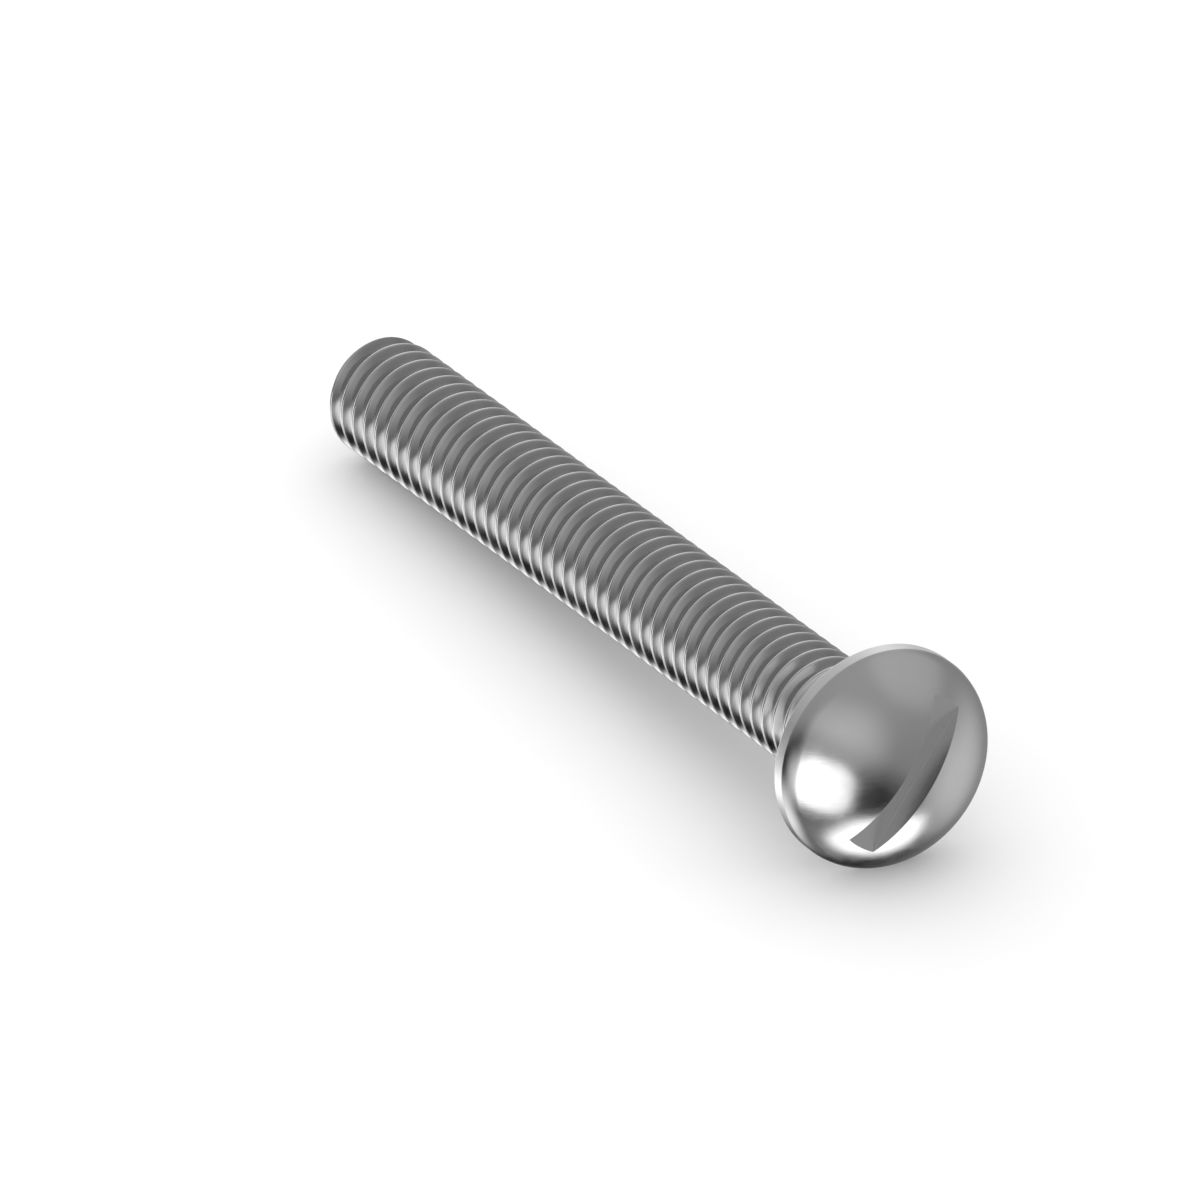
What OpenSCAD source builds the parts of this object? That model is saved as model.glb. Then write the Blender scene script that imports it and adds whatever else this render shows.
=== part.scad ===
// Slotted button head machine screw, 5/16 inch by 18 threads to the inch, 2 1/2 inches long.
// It is one turned and rolled piece that lies on its side: the edge of the head and the last
// crest of the thread rest on the floor. The origin is the middle of the bearing face, under
// the head, and +X points along the screw's shadow, from the tip to the head.

/* [Head] */
// Diameter of the head at its rim
head_d = 14.9; // [12:0.05:18]
// Height of the head, from the bearing face to the top of the dome
head_h = 5.5; // [4.5:0.05:7]
// Height of the straight rim below the dome
rim_h = 0.9; // [0.4:0.05:1.5]
// Radius of the shoulder, where the dome turns down to the rim
shoulder_r = 2.5; // [1.5:0.05:3]
// Angle by which the dome leans in where it leaves the rim
shoulder_lean = 7.6; // [2:0.1:20]

/* [Slot] */
// Width of the driver slot
slot_w = 2.15; // [1.4:0.05:2.6]
// Depth of the slot below the top of the dome
slot_depth = 1.92; // [1:0.02:2.8]
// Turn of the slot about the screw's axis, from the lowest point of the rim
slot_turn = 142.5; // [0:0.5:180]

/* [Shank] */
// Length under the head
shank_l = 63.5; // [20:0.5:80]
// Nominal diameter, to which the neck is made
nominal_d = 7.9375; // [6.35:0.0125:9.525]
// Length of the plain neck between the head and the thread
neck_l = 1; // [0.6:0.05:3]
// Radius of the fillet between the neck and the head's bearing face
fillet_r = 0.2; // [0.1:0.05:0.4]

/* [Thread] */
// Threads to the inch
threads_per_inch = 18; // [16:1:24]
// Amount by which the thread is smaller than the nominal diameter
thread_allowance = 0.03; // [0.02:0.01:0.2]
// Angle between the two flanks of the thread
flank_angle = 60; // [55:1:70]
// Length over which the thread runs out into the neck
runout_l = 1.5; // [0.8:0.1:3]
// Turn of the thread about the screw's axis, from the lowest point of the rim
thread_turn = 76; // [0:1:360]
// Number of flats in one turn of the thread
turn_flats = 26; // [16:1:32]

/* [Tip] */
// Height of the bevel at the tip
bevel_h = 0.5; // [0.2:0.05:1.2]
// Amount by which the bevel reduces the radius at the tip
bevel_w = 0.95; // [0.5:0.05:1.5]

/* [Hidden] */
$fn = 96;
mm_per_inch = 25.4;
head_r = head_d / 2;
neck_r = nominal_d / 2;

// The thread's profile: a crest flat of an eighth of the pitch and a root flat of a sixth.
pitch = mm_per_inch / threads_per_inch;
thread_r = (nominal_d - thread_allowance) / 2;
crest_flat = pitch / 8;
root_flat = pitch / 6;
flank_l = (pitch - crest_flat - root_flat) / 2;
root_r = thread_r - flank_l / tan(flank_angle / 2);

// The dome's half section: a shoulder arc that starts at the rim's edge, and a crown arc, centred
// on the axis, that touches it and reaches the top of the head.
shoulder_x = head_r - shoulder_r * cos(shoulder_lean);
shoulder_z = rim_h - shoulder_r * sin(shoulder_lean);
shoulder_drop = head_h - shoulder_z;
crown_r = (shoulder_x ^ 2 + shoulder_drop ^ 2 - shoulder_r ^ 2) / (2 * (shoulder_drop - shoulder_r));
crown_z = head_h - crown_r;
join_x = crown_r * shoulder_x / (crown_r - shoulder_r);

// The screw lies on the head's rim and on the last full crest of the thread.
rest_tilt = atan((head_r - thread_r) / (shank_l - bevel_h));

// Room that cutting shapes take past the surfaces that they cut, and that joined shapes sink in.
spare = 1;
sink = 0.1;

// The threads counted down from the bearing face: the first lies in the neck, and the last
// lies past the tip, which is then cut to length.
first_turn = floor((neck_l - sink) / pitch);
last_turn = ceil(shank_l / pitch + 1.1);
turns = last_turn - first_turn + 1;
stations = turns * turn_flats;

// One turn of the profile, as distance along the axis and radius, from the start of a crest.
turn_profile = [
    [0, thread_r],
    [crest_flat, thread_r],
    [crest_flat + flank_l, root_r],
    [crest_flat + flank_l + root_flat, root_r],
];
steps = len(turn_profile);

function thread_point(station, step) =
    let (angle = 360 * station / turn_flats, place = turn_profile[step])
    [
        place[1] * cos(angle),
        place[1] * sin(angle),
        pitch * (station / turn_flats - last_turn) + place[0] - crest_flat / 2,
    ];

// Number of the point that lies so many steps up the thread from the first one at a station.
function point_number(station, step) =
    step < steps
        ? station * steps + step
        : (station + turn_flats) * steps + step - steps;

function fan(middle, loop) =
    [for (i = [0 : len(loop) - 1]) [middle, loop[i], loop[(i + 1) % len(loop)]]];

// The threaded rod: a right-hand helix of the profile, closed at each end by a fan of triangles.
module threaded_rod() {
    low_middle = (stations + 1) * steps;
    high_middle = low_middle + 1;
    low_z = pitch * (0.5 - last_turn);
    high_z = low_z + pitch * (turns - 1);
    points = concat(
        [for (station = [0 : stations]) for (step = [0 : steps - 1]) thread_point(station, step)],
        [[0, 0, low_z], [0, 0, high_z + pitch / 2]]
    );
    sides = [
        for (station = [0 : stations - 1])
        for (step = [0 : station < stations - turn_flats ? steps - 1 : steps - 2])
            [
                point_number(station, step),
                point_number(station, step + 1),
                point_number(station + 1, step + 1),
                point_number(station + 1, step),
            ]
    ];
    low_loop = concat(
        [for (station = [0 : turn_flats]) point_number(station, 0)],
        [for (step = [steps - 1 : -1 : 1]) point_number(0, step)]
    );
    high_loop = concat(
        [for (station = [stations : -1 : stations - turn_flats]) point_number(station, steps - 1)],
        [for (step = [0 : steps - 2]) point_number(stations, step)]
    );
    polyhedron(points, concat(sides, fan(low_middle, low_loop), fan(high_middle, high_loop)));
}

// What is taken off below the tip and outside its bevel.
module tip_cutter() {
    slope = bevel_h / bevel_w;
    rotate_extrude()
        polygon([
            [0, -shank_l],
            [0, -shank_l - 3 * pitch],
            [thread_r + spare, -shank_l - 3 * pitch],
            [thread_r + spare, -shank_l + bevel_h + spare * slope],
            [thread_r - bevel_w, -shank_l],
        ]);
}

module shank() {
    difference() {
        rotate([0, 0, thread_turn]) threaded_rod();
        tip_cutter();
    }
}

// The plain neck, with the cone in which the thread runs out. It reaches up into the head.
module neck() {
    runout_r = root_r - sink;
    rotate_extrude() {
        polygon([
            [0, rim_h / 2],
            [0, -neck_l - runout_l],
            [runout_r, -neck_l - runout_l],
            [neck_r, -neck_l],
            [neck_r, rim_h / 2],
        ]);
        difference() {
            translate([neck_r - sink, -fillet_r]) square([fillet_r + sink, fillet_r + sink]);
            translate([neck_r + fillet_r, -fillet_r]) circle(fillet_r);
        }
    }
}

// The head's half section, right of the axis. It is drawn a little too wide, and one upright cut
// at the head's radius makes the rim.
module head_section() {
    intersection() {
        union() {
            square([head_r + spare, shoulder_z]);
            intersection() {
                translate([0, crown_z]) circle(crown_r);
                square([join_x, head_h + spare]);
            }
            intersection() {
                translate([shoulder_x, shoulder_z]) circle(shoulder_r);
                translate([join_x, 0]) square([head_r, head_h]);
            }
        }
        square([head_r, head_h + spare]);
    }
}

module slot_cutter() {
    rotate([0, 0, slot_turn])
        translate([-head_r, -slot_w / 2, head_h - slot_depth])
            cube([head_d, slot_w, slot_depth + spare]);
}

module head() {
    difference() {
        rotate_extrude() head_section();
        slot_cutter();
    }
}

module screw() {
    color("silver")
        rotate([0, 90 - rest_tilt, 0])
            union() {
                head();
                neck();
                shank();
            }
}

screw();
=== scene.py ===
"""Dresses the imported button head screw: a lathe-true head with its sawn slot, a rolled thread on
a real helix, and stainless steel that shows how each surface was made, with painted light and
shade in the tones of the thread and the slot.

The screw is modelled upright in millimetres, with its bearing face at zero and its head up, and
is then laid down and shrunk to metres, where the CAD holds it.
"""

from math import asin, atan, cos, floor, pi, radians, sin, tan

import bmesh
import bpy
from mathutils import Matrix, Vector


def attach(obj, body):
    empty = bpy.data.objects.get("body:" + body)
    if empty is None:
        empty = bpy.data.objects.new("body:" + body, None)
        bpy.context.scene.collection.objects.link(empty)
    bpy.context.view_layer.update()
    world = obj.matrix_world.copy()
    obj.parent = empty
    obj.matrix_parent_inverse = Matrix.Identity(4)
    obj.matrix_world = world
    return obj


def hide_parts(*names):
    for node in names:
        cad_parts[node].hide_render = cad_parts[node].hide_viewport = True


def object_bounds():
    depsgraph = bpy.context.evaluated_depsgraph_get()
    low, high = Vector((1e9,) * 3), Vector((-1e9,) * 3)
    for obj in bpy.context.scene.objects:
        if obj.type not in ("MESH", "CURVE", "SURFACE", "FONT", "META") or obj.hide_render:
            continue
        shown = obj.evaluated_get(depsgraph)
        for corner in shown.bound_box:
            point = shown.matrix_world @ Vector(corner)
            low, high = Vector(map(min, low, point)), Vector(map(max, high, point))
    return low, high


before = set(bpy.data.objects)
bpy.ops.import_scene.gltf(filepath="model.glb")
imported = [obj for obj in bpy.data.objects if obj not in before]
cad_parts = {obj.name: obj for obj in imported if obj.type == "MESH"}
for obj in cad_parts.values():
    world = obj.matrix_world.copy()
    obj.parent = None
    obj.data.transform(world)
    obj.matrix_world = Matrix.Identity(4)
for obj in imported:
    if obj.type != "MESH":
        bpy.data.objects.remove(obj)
cad_low, cad_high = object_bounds()

MM = 0.001

# Head, in millimetres as all sizes of the screw are
HEAD_R = 14.9 / 2
HEAD_H = 5.5
RIM_H = 0.9
SHOULDER_R = 2.5
SHOULDER_LEAN = radians(7.6)
RIM_BREAK = 0.08

# Slot
SLOT_W = 2.15
SLOT_DEPTH = 1.92
SLOT_FLOOR = HEAD_H - SLOT_DEPTH
SLOT_TURN = radians(142.5)
SLOT_BREAK = 0.06

# Shank
SHANK_L = 63.5
NECK_R = 7.9375 / 2
NECK_L = 1.0
FILLET_R = 0.2
RUNOUT_L = 1.5

# Thread: 18 to the inch, on flanks 60 degrees apart, and a little thinner than the neck
PITCH = 25.4 / 18
THREAD_ALLOWANCE = 0.03
THREAD_R = NECK_R - THREAD_ALLOWANCE / 2
CREST_FLAT = PITCH / 8
ROOT_FLAT = PITCH / 6
FLANK_L = (PITCH - CREST_FLAT - ROOT_FLAT) / 2
THREAD_DEPTH = FLANK_L / tan(radians(30))
ROOT_R = THREAD_R - THREAD_DEPTH
THREAD_TURN = radians(76)

# Rolling leaves the edges of crests and roots rounded, and the middle of the flanks this hollow
CREST_ROUND = 0.04
ROOT_ROUND = 0.07
FLANK_HOLLOW = 0.018

# Tip
BEVEL_H = 0.5
BEVEL_W = 0.95

# Fineness of the meshes: flats round the axis, and steps along the outlines
HEAD_FLATS = 192
THREAD_FLATS = 96
CROWN_STEPS = 28
SHOULDER_STEPS = 14
FILLET_STEPS = 5
RIM_BREAK_STEPS = 4
FLANK_STEPS = 4
ROUND_STEPS = 2

# Room that cutting shapes take past the surfaces that they cut, and that joined shapes sink in
SPARE = 1
SINK = 0.1

# How far the screw leans from lying level, head up
REST_LEAN = atan((HEAD_R - THREAD_R) / (SHANK_L - BEVEL_H))
LAID_DOWN = Matrix.Rotation(pi / 2 - REST_LEAN, 4, "Y")

# The photograph's view: its direction, the width that it shows and where its middle lies, in
# millimetres to the right of and above the origin
VIEW_AZIMUTH = 60.13
VIEW_ELEVATION = 28.24
VIEW_WIDTH = 76.12
VIEW_RIGHT = -17.50
VIEW_UP = 9.69


# Shapes


def straight(shape, end, reach):
    """Carries an outline on from its end vertex by a straight step; returns the new end."""
    made = bmesh.ops.extrude_vert_indiv(shape, verts=[end])["verts"]
    bmesh.ops.translate(shape, verts=made, vec=reach)
    return made[0]


def arc(shape, end, centre, turn, steps):
    """Carries an outline on from its end vertex along an arc in the plane of X and Z."""
    made = bmesh.ops.spin(
        shape, geom=[end], cent=centre, axis=(0, 1, 0), angle=turn, steps=steps
    )["geom_last"]
    return made[0]


def hollow(shape, end, reach, depth, steps):
    """Carries an outline on by an arc that sinks towards the axis by so much at its middle."""
    along = Vector(reach)
    bend = 8 * depth / along.length
    radius = along.length / bend
    outward = Vector((0, 0, 1)).cross(along).cross(along).normalized()
    if outward.x < 0:
        outward.negate()
    middle = end.co + along / 2 + outward * (radius - depth)
    turn = bend if (end.co - middle).cross(along).y > 0 else -bend
    return arc(shape, end, middle, turn, steps)


def lathe(shape, flats):
    """Turns an outline, drawn beside the Z axis, into a closed body."""
    bmesh.ops.spin(
        shape,
        geom=shape.verts[:] + shape.edges[:],
        cent=(0, 0, 0),
        axis=(0, 0, 1),
        angle=2 * pi,
        steps=flats,
        use_merge=True,
    )
    bmesh.ops.remove_doubles(shape, verts=shape.verts[:], dist=1e-4)
    bmesh.ops.recalc_face_normals(shape, faces=shape.faces[:])


def swing(shape, turn):
    """Turns the whole shape about the Z axis."""
    bmesh.ops.rotate(
        shape, verts=shape.verts[:], cent=(0, 0, 0), matrix=Matrix.Rotation(turn, 3, "Z")
    )


def as_object(shape, name):
    """Makes an object of a finished shape."""
    mesh = bpy.data.meshes.new(name)
    shape.to_mesh(mesh)
    shape.free()
    made = bpy.data.objects.new(name, mesh)
    bpy.context.scene.collection.objects.link(made)
    return made


def keep_result(body):
    """Makes what the body's modifiers give its own mesh."""
    view = bpy.context.evaluated_depsgraph_get()
    done = bpy.data.meshes.new_from_object(body.evaluated_get(view))
    body.modifiers.clear()
    body.data = done


def combine(body, tool, how):
    """Joins a tool to a body or cuts it away, and removes the tool."""
    change = body.modifiers.new(how, "BOOLEAN")
    change.operation = how
    change.solver = "EXACT"
    change.material_mode = "TRANSFER"
    change.object = tool
    keep_result(body)
    bpy.data.objects.remove(tool)


def head_blank():
    """The head before its slot is sawn, with the neck and the cone in which the thread ends."""
    shoulder_x = HEAD_R - SHOULDER_R * cos(SHOULDER_LEAN)
    shoulder_z = RIM_H - SHOULDER_R * sin(SHOULDER_LEAN)
    drop = HEAD_H - shoulder_z
    crown_r = (shoulder_x**2 + drop**2 - SHOULDER_R**2) / (2 * (drop - SHOULDER_R))
    crown = (0, 0, HEAD_H - crown_r)
    crown_turn = asin(shoulder_x / (crown_r - SHOULDER_R))
    shoulder = (shoulder_x, 0, shoulder_z)
    shoulder_turn = pi / 2 - SHOULDER_LEAN - crown_turn
    runout_r = ROOT_R - SINK

    shape = bmesh.new()
    end = shape.verts.new((0, 0, HEAD_H))
    end = arc(shape, end, crown, crown_turn, CROWN_STEPS)
    end = arc(shape, end, shoulder, shoulder_turn, SHOULDER_STEPS)
    end = straight(shape, end, (0, 0, RIM_BREAK - RIM_H))
    end = arc(shape, end, (HEAD_R - RIM_BREAK, 0, RIM_BREAK), pi / 2, RIM_BREAK_STEPS)
    end = straight(shape, end, (NECK_R + FILLET_R + RIM_BREAK - HEAD_R, 0, 0))
    end = arc(shape, end, (NECK_R + FILLET_R, 0, -FILLET_R), -pi / 2, FILLET_STEPS)
    end = straight(shape, end, (0, 0, FILLET_R - NECK_L))
    end = straight(shape, end, (runout_r - NECK_R, 0, -RUNOUT_L))
    straight(shape, end, (-runout_r, 0, 0))
    lathe(shape, HEAD_FLATS)
    return as_object(shape, "head")


def slot_saw():
    """The space that the slotting saw leaves."""
    height = SLOT_DEPTH + SPARE
    shape = bmesh.new()
    bmesh.ops.create_cube(shape, size=1)
    bmesh.ops.scale(shape, verts=shape.verts[:], vec=(2 * (HEAD_R + SPARE), SLOT_W, height))
    bmesh.ops.translate(shape, verts=shape.verts[:], vec=(0, 0, SLOT_FLOOR + height / 2))
    swing(shape, SLOT_TURN)
    return as_object(shape, "slot_saw")


def round_corners(shape, corners, size):
    """Rounds corners of an outline, from so far on either side of each."""
    bmesh.ops.bevel(
        shape,
        geom=corners,
        offset=size,
        segments=ROUND_STEPS,
        profile=0.5,
        affect="VERTICES",
        material=-1,
    )


def close_ends(shape):
    """Closes each open end of the rod with faces that meet on its axis."""
    open_edges = [edge for edge in shape.edges if edge.is_boundary]
    middle = sum(edge.verts[0].co.z for edge in open_edges) / len(open_edges)
    for above in (False, True):
        rim = [edge for edge in open_edges if (edge.verts[0].co.z > middle) == above]
        made = bmesh.ops.extrude_edge_only(shape, edges=rim)["geom"]
        inner = [part for part in made if isinstance(part, bmesh.types.BMVert)]
        height = sum(vertex.co.z for vertex in inner) / len(inner)
        bmesh.ops.pointmerge(shape, verts=inner, merge_co=(0, 0, height))


def threaded_rod():
    """A rod longer than the shank, rolled with a right-hand thread. One turn is made from the
    thread's outline and copied along the axis."""
    turns = floor(SHANK_L / PITCH) + 2
    shape = bmesh.new()
    start = shape.verts.new((THREAD_R, 0, -turns * PITCH))
    high_crest = straight(shape, start, (0, 0, CREST_FLAT / 2))
    to_root = (-THREAD_DEPTH, 0, FLANK_L)
    high_root = hollow(shape, high_crest, to_root, FLANK_HOLLOW, FLANK_STEPS)
    low_root = straight(shape, high_root, (0, 0, ROOT_FLAT))
    to_crest = (THREAD_DEPTH, 0, FLANK_L)
    low_crest = hollow(shape, low_root, to_crest, FLANK_HOLLOW, FLANK_STEPS)
    straight(shape, low_crest, (0, 0, CREST_FLAT / 2))
    round_corners(shape, [high_crest, low_crest], CREST_ROUND)
    round_corners(shape, [high_root, low_root], ROOT_ROUND)
    bmesh.ops.spin(
        shape,
        geom=shape.verts[:] + shape.edges[:],
        cent=(0, 0, 0),
        axis=(0, 0, 1),
        dvec=(0, 0, PITCH / THREAD_FLATS),
        angle=2 * pi,
        steps=THREAD_FLATS,
    )
    first_turn = shape.verts[:] + shape.edges[:] + shape.faces[:]
    for turn in range(1, turns):
        copied = bmesh.ops.duplicate(shape, geom=first_turn)["geom"]
        corners = [part for part in copied if isinstance(part, bmesh.types.BMVert)]
        bmesh.ops.translate(shape, verts=corners, vec=(0, 0, turn * PITCH))
    bmesh.ops.remove_doubles(shape, verts=shape.verts[:], dist=0.002)
    close_ends(shape)
    swing(shape, THREAD_TURN)
    bmesh.ops.recalc_face_normals(shape, faces=shape.faces[:])
    return as_object(shape, "threaded_rod")


def tip_tool():
    """What is turned off below the tip and outside its bevel. It reaches past the rod's end."""
    slope = BEVEL_H / BEVEL_W
    width = BEVEL_W + SPARE
    shape = bmesh.new()
    start = shape.verts.new((0, 0, -SHANK_L))
    end = straight(shape, start, (THREAD_R - BEVEL_W, 0, 0))
    end = straight(shape, end, (width, 0, width * slope))
    end = straight(shape, end, (0, 0, -5 * PITCH))
    straight(shape, end, (-THREAD_R - SPARE, 0, 0))
    lathe(shape, THREAD_FLATS)
    return as_object(shape, "tip_tool")


def number_by_place(shape):
    """Numbers corners, edges and faces by how far they lie along a slanting line. A cut numbers
    them anew in each run, and what follows goes by the numbers."""
    slant = Vector((0.2, 0.5, 0.8))

    def spot(place):
        return round(place.dot(slant), 5)

    shape.verts.sort(key=lambda corner: spot(corner.co))
    shape.edges.sort(key=lambda edge: spot(edge.verts[0].co + edge.verts[1].co))
    shape.faces.sort(key=lambda face: spot(face.calc_center_median()))


def slot_edges(shape):
    """The edges that the saw left between the slot and the dome: level with the slot's floor or
    above it, and sharper than any that the lathe leaves."""
    return [
        edge
        for edge in shape.edges
        if len(edge.link_faces) == 2
        and min(vertex.co.z for vertex in edge.verts) > SLOT_FLOOR - 0.01
        and edge.calc_face_angle_signed(0) > radians(20)
    ]


def break_slot_edges(head):
    """Takes the burr off the slot's edges, once corners that crowd together there are joined."""
    shape = bmesh.new()
    shape.from_mesh(head.data)
    number_by_place(shape)
    shape.normal_update()
    near = dict.fromkeys(vertex for edge in slot_edges(shape) for vertex in edge.verts)
    bmesh.ops.remove_doubles(shape, verts=list(near), dist=0.04)
    bmesh.ops.bevel(
        shape,
        geom=slot_edges(shape),
        offset=SLOT_BREAK,
        segments=ROUND_STEPS,
        profile=0.5,
        affect="EDGES",
        clamp_overlap=True,
        material=-1,
    )
    shape.to_mesh(head.data)
    shape.free()


def make_screw():
    """Heads, saws, rolls and points the screw, and lays it down where the CAD holds it. Each
    surface keeps the finish of the tool that made it, and the thread and the slot carry painted
    light and shade in their tones. Its shading is evened out while it is still in millimetres,
    because faces measured in metres are too small for that."""
    screw, saw, shank, lathe_tool = head_blank(), slot_saw(), threaded_rod(), tip_tool()
    screw.data.materials.append(cold_headed_steel())
    saw.data.materials.append(sawn_steel())
    shank.data.materials.append(rolled_steel())
    lathe_tool.data.materials.append(turned_steel())
    combine(screw, saw, "DIFFERENCE")
    break_slot_edges(screw)
    combine(shank, lathe_tool, "DIFFERENCE")
    combine(screw, shank, "UNION")
    screw.data.shade_smooth()
    screw.data.set_sharp_from_angle(angle=radians(32))
    even = screw.modifiers.new("even_shading", "WEIGHTED_NORMAL")
    even.keep_sharp = True
    even.weight = 60
    keep_result(screw)
    screw.name = "button_head_screw"
    screw.data.name = screw.name
    screw.data.transform(Matrix.Scale(MM, 4) @ LAID_DOWN)
    return screw


# Nodes


def colour(sheet_hex):
    """A colour given in sRGB hex, as the linear colour that the shader wants."""
    parts = [int(sheet_hex[i : i + 2], 16) / 255 for i in (1, 3, 5)]
    linear = [p / 12.92 if p <= 0.04045 else ((p + 0.055) / 1.055) ** 2.4 for p in parts]
    return (*linear, 1)


def add(tree, kind, settings=None):
    """Adds a node and sets its options and inputs. An input may be another node's output."""
    made = tree.nodes.new(kind)
    for name, value in (settings or {}).items():
        if isinstance(value, bpy.types.NodeSocket):
            tree.links.new(value, made.inputs[name])
        elif isinstance(name, int) or name in made.inputs:
            made.inputs[name].default_value = value
        else:
            setattr(made, name, value)
    return made


def arithmetic(tree, operation, first, second):
    """Works out one number from two."""
    settings = {"operation": operation, 0: first, 1: second}
    return add(tree, "ShaderNodeMath", settings).outputs["Value"]


def blend(tree, share, low, high):
    """Mixes two numbers, or two colours, of which at least one is given as such."""
    if isinstance(low, tuple) or isinstance(high, tuple):
        settings = {"data_type": "RGBA", 0: share, 6: low, 7: high}
        return add(tree, "ShaderNodeMix", settings).outputs[2]
    settings = {"data_type": "FLOAT", 0: share, 2: low, 3: high}
    return add(tree, "ShaderNodeMix", settings).outputs[0]


def ranged(tree, value, low, high, start, stop, course="LINEAR"):
    """Carries a value from the range start to stop over to the range low to high."""
    settings = {
        "interpolation_type": course,
        "Value": value,
        "From Min": start,
        "From Max": stop,
        "To Min": low,
        "To Max": high,
    }
    return add(tree, "ShaderNodeMapRange", settings).outputs["Result"]


def uneven(tree, noise, low, high):
    """Spreads a noise, most of which lies between 0.3 and 0.7, over the range low to high."""
    return ranged(tree, noise, low, high, 0.3, 0.7)


# Materials


def steel(name):
    """A bare stainless steel; returns it, its nodes and its shader."""
    made = bpy.data.materials.new(name)
    made.use_nodes = True
    surface = made.node_tree.nodes["Principled BSDF"]
    surface.inputs["Metallic"].default_value = 1
    return made, made.node_tree, surface


def upright(tree, turn=0):
    """Millimetres in the screw's own frame: its axis is Z, and turn swings the others round it."""
    settings = {
        "Vector": add(tree, "ShaderNodeTexCoord").outputs["Object"],
        "Rotation": (0, REST_LEAN - pi / 2, 0),
        "Scale": (1 / MM, 1 / MM, 1 / MM),
    }
    stood_up = add(tree, "ShaderNodeMapping", settings).outputs["Vector"]
    settings = {"Vector": stood_up, "Rotation": (0, 0, -turn)}
    return add(tree, "ShaderNodeMapping", settings).outputs["Vector"]


def off_axis(tree, place):
    """The distance from the screw's axis, in millimetres."""
    settings = {"operation": "MULTIPLY", 0: place, 1: (1, 1, 0)}
    flat = add(tree, "ShaderNodeVectorMath", settings).outputs["Vector"]
    return add(tree, "ShaderNodeVectorMath", {"operation": "LENGTH", 0: flat}).outputs["Value"]


def stretched(tree, place, spacing):
    """Where a noise of scale 1 is read, so that its spacing along each axis is so many
    millimetres."""
    settings = {"Vector": place, "Scale": tuple(1 / step for step in spacing)}
    return add(tree, "ShaderNodeMapping", settings).outputs["Vector"]


def marks(tree, place, spacing, detail):
    """Uneven marks, 0 to 1, whose spacing along each axis is given in millimetres."""
    settings = {
        "Vector": stretched(tree, place, spacing),
        "Scale": 1,
        "Detail": detail,
        "Roughness": 0.55,
    }
    return add(tree, "ShaderNodeTexNoise", settings).outputs["Fac"]


def finish(tree, surface, roughness, height, depth):
    """Gives the shader its roughness, and raises it by up to depth, in millimetres, where height
    is 1."""
    tree.links.new(roughness, surface.inputs["Roughness"])
    bump = add(tree, "ShaderNodeBump", {"Strength": 1, "Distance": depth * MM, "Height": height})
    tree.links.new(bump.outputs["Normal"], surface.inputs["Normal"])


def cold_headed_steel():
    """Stainless steel struck in a polished die, then tumbled: a bright, close skin with a faint
    unevenness of about a millimetre and fine hairlines from the tumbling, drawn a little coarser
    than they are."""
    made, tree, surface = steel("cold_headed_stainless_steel")
    surface.inputs["Base Color"].default_value = colour("#D8D8D8")
    place = upright(tree)
    skin = marks(tree, place, spacing=(1.1, 1.1, 1.1), detail=2)
    hairlines = marks(tree, place, spacing=(0.05, 1.6, 1.1), detail=4)
    wear = blend(tree, 0.45, skin, hairlines)
    finish(tree, surface, uneven(tree, wear, 0.17, 0.27), wear, depth=0.006)
    return made


def rolled_steel():
    """Stainless steel pressed into a thread between dies: the flanks carry fine lines round the
    screw, and the roots are duller. The tone is painted by depth: a brighter crest as a painted
    highlight, flanks darkening towards the root as painted shade, and a lighter root as painted
    light that lifts the shade there."""
    made, tree, surface = steel("rolled_stainless_steel")
    place = upright(tree)
    radius = off_axis(tree, place)

    def above(deep, shallow, course="LINEAR"):
        """0 where the surface lies deep below the crests, in millimetres, and 1 from shallow."""
        return ranged(tree, radius, 0, 1, THREAD_R - deep, THREAD_R - shallow, course)

    # W only picks one of the noise's many patterns.
    settings = {
        "noise_dimensions": "4D",
        "Vector": stretched(tree, place, (4, 4, 0.4)),
        "W": 14,
        "Scale": 1,
        "Detail": 3,
        "Roughness": 0.6,
    }
    streaks = add(tree, "ShaderNodeTexNoise", settings).outputs["Fac"]
    crest = above(0.12, 0.02, "SMOOTHSTEP")
    # Painted shade: the flanks' tone darkens from #BEBEBE near the crests to #B2B2B2 towards the
    # root.
    flank_painted_shade = blend(tree, above(0.35, 0.1), colour("#B2B2B2"), colour("#BEBEBE"))
    # Painted light: deeper in, the tone lightens again to #BABABA, lifting the shade at the root.
    painted_shade_and_root_light = blend(tree, above(0.55, 0.38), colour("#BABABA"), flank_painted_shade)
    # Painted highlight: the crests get the brighter tone #D0D0D0.
    skin = blend(tree, crest, painted_shade_and_root_light, colour("#D0D0D0"))
    tree.links.new(skin, surface.inputs["Base Color"])
    above_root = blend(tree, crest, uneven(tree, streaks, 0.09, 0.16), 0.2)
    roughness = blend(tree, above(0.56, 0.46), 0.32, above_root)
    finish(tree, surface, roughness, streaks, depth=0.004)
    return made


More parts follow.
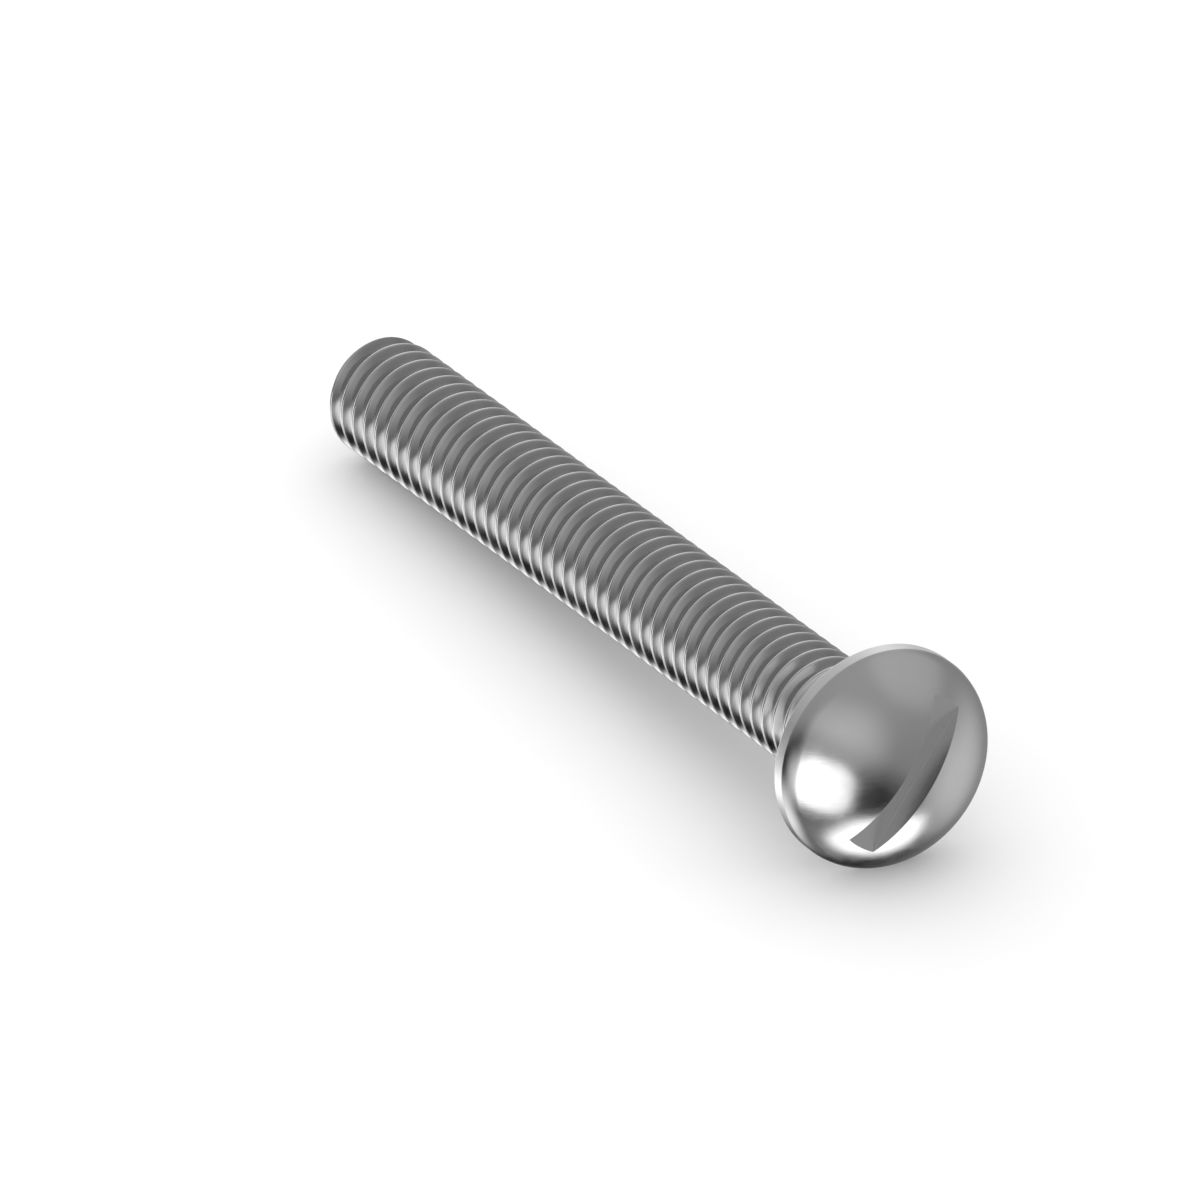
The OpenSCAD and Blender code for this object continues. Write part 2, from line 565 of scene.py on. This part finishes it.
def sawn_steel():
    """Stainless steel as the slotting saw leaves it: straight lines along the slot, drawn coarser
    than they are. The floor is painted brighter than the walls: painted light on the floor and
    painted shade on the walls."""
    made, tree, surface = steel("sawn_stainless_steel")
    place = upright(tree, SLOT_TURN)
    height = add(tree, "ShaderNodeSeparateXYZ", {"Vector": place}).outputs["Z"]
    # Painted light and shade: the floor gets the bright tone #EBEBEB and the walls the darker
    # #B6B6B6.
    wall_painted_shade = ranged(tree, height, 0, 1, SLOT_FLOOR + 0.002, SLOT_FLOOR + 0.006)
    skin = blend(tree, wall_painted_shade, colour("#EBEBEB"), colour("#B6B6B6"))
    tree.links.new(skin, surface.inputs["Base Color"])
    lines = marks(tree, place, spacing=(6.0, 0.12, 0.12), detail=2)
    finish(tree, surface, uneven(tree, lines, 0.2, 0.27), lines, depth=0.0004)
    return made


def turned_steel():
    """Stainless steel as turned at the tip: rings about the axis, some nine to a millimetre."""
    made, tree, surface = steel("turned_stainless_steel")
    surface.inputs["Base Color"].default_value = colour("#D3D3D3")
    settings = {
        "noise_dimensions": "1D",
        "W": off_axis(tree, upright(tree)),
        "Scale": 9,
        "Detail": 3,
        "Roughness": 0.6,
    }
    rings = add(tree, "ShaderNodeTexNoise", settings).outputs["Fac"]
    finish(tree, surface, uneven(tree, rings, 0.2, 0.32), rings, depth=0.01)
    return made


# Stage


def towards(azimuth, elevation):
    """The direction that is so many degrees round from the front and above level."""
    turn, climb = radians(azimuth), radians(elevation)
    return Vector((sin(turn) * cos(climb), -cos(turn) * cos(climb), sin(climb)))


def cloth(tree, softness):
    """The brightness of a soft light's cloth: 1 in its middle, and fading to 0 at an edge with
    well rounded corners, over the share of its half width that softness gives."""
    place = add(tree, "ShaderNodeNewGeometry").outputs["Parametric"]
    settings = {"operation": "SUBTRACT", 0: place, 1: (0.5, 0.5, 0)}
    centred = add(tree, "ShaderNodeVectorMath", settings).outputs["Vector"]
    settings = {"operation": "ABSOLUTE", 0: centred}
    spread = add(tree, "ShaderNodeVectorMath", settings).outputs["Vector"]
    sides = add(tree, "ShaderNodeSeparateXYZ", {"Vector": spread}).outputs
    roundness = 3
    across = arithmetic(tree, "POWER", sides["X"], roundness)
    along = arithmetic(tree, "POWER", sides["Y"], roundness)
    both = arithmetic(tree, "ADD", across, along)
    off_middle = arithmetic(tree, "POWER", both, 1 / roundness)
    return ranged(tree, off_middle, 0, 1, 0.5, 0.5 * (1 - softness), "SMOOTHSTEP")


def soft_box(name, azimuth, elevation, width, height, brightness, softness=0.5, roll=0):
    """A soft light that faces the screw from three metres. Its sides, up to where it is half as
    bright, are given in degrees, as the screw sees them, and so is its roll."""
    distance = 3
    fade = 1 / (1 - softness / 2)
    lamp = bpy.data.lights.new(name, "AREA")
    lamp.shape = "RECTANGLE"
    lamp.size = fade * 2 * distance * tan(radians(width / 2))
    lamp.size_y = fade * 2 * distance * tan(radians(height / 2))
    lamp.energy = brightness * pi * lamp.size * lamp.size_y
    lamp.use_nodes = True
    tree = lamp.node_tree
    tree.links.new(cloth(tree, softness), tree.nodes["Emission"].inputs["Strength"])
    box = bpy.data.objects.new(name, lamp)
    box.location = towards(azimuth, elevation) * distance
    facing = towards(azimuth, elevation).to_track_quat("Z", "Y").to_matrix()
    box.rotation_euler = (facing @ Matrix.Rotation(radians(roll), 3, "Z")).to_euler()
    box.visible_camera = False
    bpy.context.scene.collection.objects.link(box)


def make_floor():
    """A plain pale board. The screw doesn't mirror it, because the photograph's screw mirrors a
    dark space there, and it lets the lights below it through."""
    shape = bmesh.new()
    bmesh.ops.create_grid(shape, x_segments=1, y_segments=1, size=60)
    bmesh.ops.translate(shape, verts=shape.verts[:], vec=(0, 0, cad_low[2]))
    ground = as_object(shape, "floor")
    pale = bpy.data.materials.new("pale_matt_board")
    pale.use_nodes = True
    surface = pale.node_tree.nodes["Principled BSDF"]
    surface.inputs["Base Color"].default_value = colour("#F4F4F4")
    surface.inputs["Roughness"].default_value = 0.9
    surface.inputs["Specular IOR Level"].default_value = 0
    ground.data.materials.append(pale)
    ground.visible_glossy = False
    ground.visible_shadow = False


def dimmed(tree, light, looking, centre, edge, core, left):
    """Dims the room's light round a direction: from the cosine edge inwards, down to the share
    left at the cosine core."""
    settings = {"operation": "DOT_PRODUCT", 0: looking, 1: centre}
    nearness = add(tree, "ShaderNodeVectorMath", settings).outputs["Value"]
    shade = ranged(tree, nearness, left, 1, core, edge, "SMOOTHSTEP")
    return arithmetic(tree, "MULTIPLY", light, shade)


def make_world():
    """A grey room, a little brighter overhead, with a large dark spot low in front and a small
    one low behind the tip. The camera sees a plain pale backdrop in its place."""
    world = bpy.data.worlds.new("studio")
    world.use_nodes = True
    bpy.context.scene.world = world
    tree = world.node_tree
    tree.nodes.clear()
    looking = add(tree, "ShaderNodeTexCoord").outputs["Generated"]
    height = add(tree, "ShaderNodeSeparateXYZ", {"Vector": looking}).outputs["Z"]
    light = ranged(tree, height, 0.28, 0.39, 0, 1)
    light = dimmed(tree, light, looking, towards(15, -50), edge=0.03, core=0.55, left=0.04)
    light = dimmed(tree, light, looking, towards(-112, -62), edge=0.82, core=0.96, left=0.55)
    white = (1, 1, 1, 1)
    room = add(tree, "ShaderNodeBackground", {"Color": white, "Strength": light})
    backdrop = add(tree, "ShaderNodeBackground", {"Color": white, "Strength": 1})
    settings = {
        0: add(tree, "ShaderNodeLightPath").outputs["Is Camera Ray"],
        1: room.outputs["Background"],
        2: backdrop.outputs["Background"],
    }
    both = add(tree, "ShaderNodeMixShader", settings).outputs["Shader"]
    add(tree, "ShaderNodeOutputWorld", {"Surface": both})


def make_lights():
    """Soft boxes, most of them where the photograph's screw mirrors a bright patch, and a ceiling
    that lights the floor alone."""
    soft_box("front_box", 38, -18.5, 46, 46, 1.5, softness=0.25, roll=-16)
    soft_box("front_glow", 11, -16, 45, 34, 0.85, softness=1, roll=8)
    soft_box("low_right_box", 102, -69.5, 51, 40, 1.75, softness=0.4, roll=-2)
    soft_box("low_left_box", -48, -43, 48, 31, 1.05, softness=0.9)
    soft_box("low_front_box", -5, -70, 80, 40, 0.16)
    soft_box("left_box", -70, -16, 32, 36, 1.5)
    soft_box("high_left_box", -92, 22, 68, 40, 0.3, softness=0.9)
    soft_box("back_box", -107, 0, 40, 50, 0.9, softness=0.9)
    soft_box("right_box", 160, -28, 56, 56, 0.38, softness=0.9)
    soft_box("high_front_box", 50, 20, 66, 56, 0.29, softness=0.9)
    soft_box("high_back_box", 176, 50, 76, 56, 0.13)
    lamp = bpy.data.lights.new("ceiling", "SUN")
    lamp.angle = radians(140)
    lamp.energy = 2.4
    ceiling = bpy.data.objects.new("ceiling", lamp)
    ceiling.rotation_euler = towards(-60, 75).to_track_quat("Z", "Y").to_euler()
    ceiling.visible_glossy = False
    bpy.context.scene.collection.objects.link(ceiling)


def make_camera():
    """The photograph's view, which has no perspective, from one metre away."""
    back = towards(VIEW_AZIMUTH, VIEW_ELEVATION)
    right = Vector((cos(radians(VIEW_AZIMUTH)), sin(radians(VIEW_AZIMUTH)), 0))
    up = back.cross(right)
    aim = right * VIEW_RIGHT * MM + up * VIEW_UP * MM
    lens = bpy.data.cameras.new("camera")
    lens.type = "ORTHO"
    lens.ortho_scale = VIEW_WIDTH * MM
    camera = bpy.data.objects.new("camera", lens)
    turned = Matrix((right, up, back)).transposed().to_4x4()
    camera.matrix_world = Matrix.Translation(aim + back) @ turned
    bpy.context.scene.collection.objects.link(camera)
    bpy.context.scene.camera = camera


screw = make_screw()
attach(screw, "root")
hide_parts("screw")

make_floor()
make_world()
make_lights()
make_camera()
bpy.context.scene.view_settings.view_transform = "Standard"
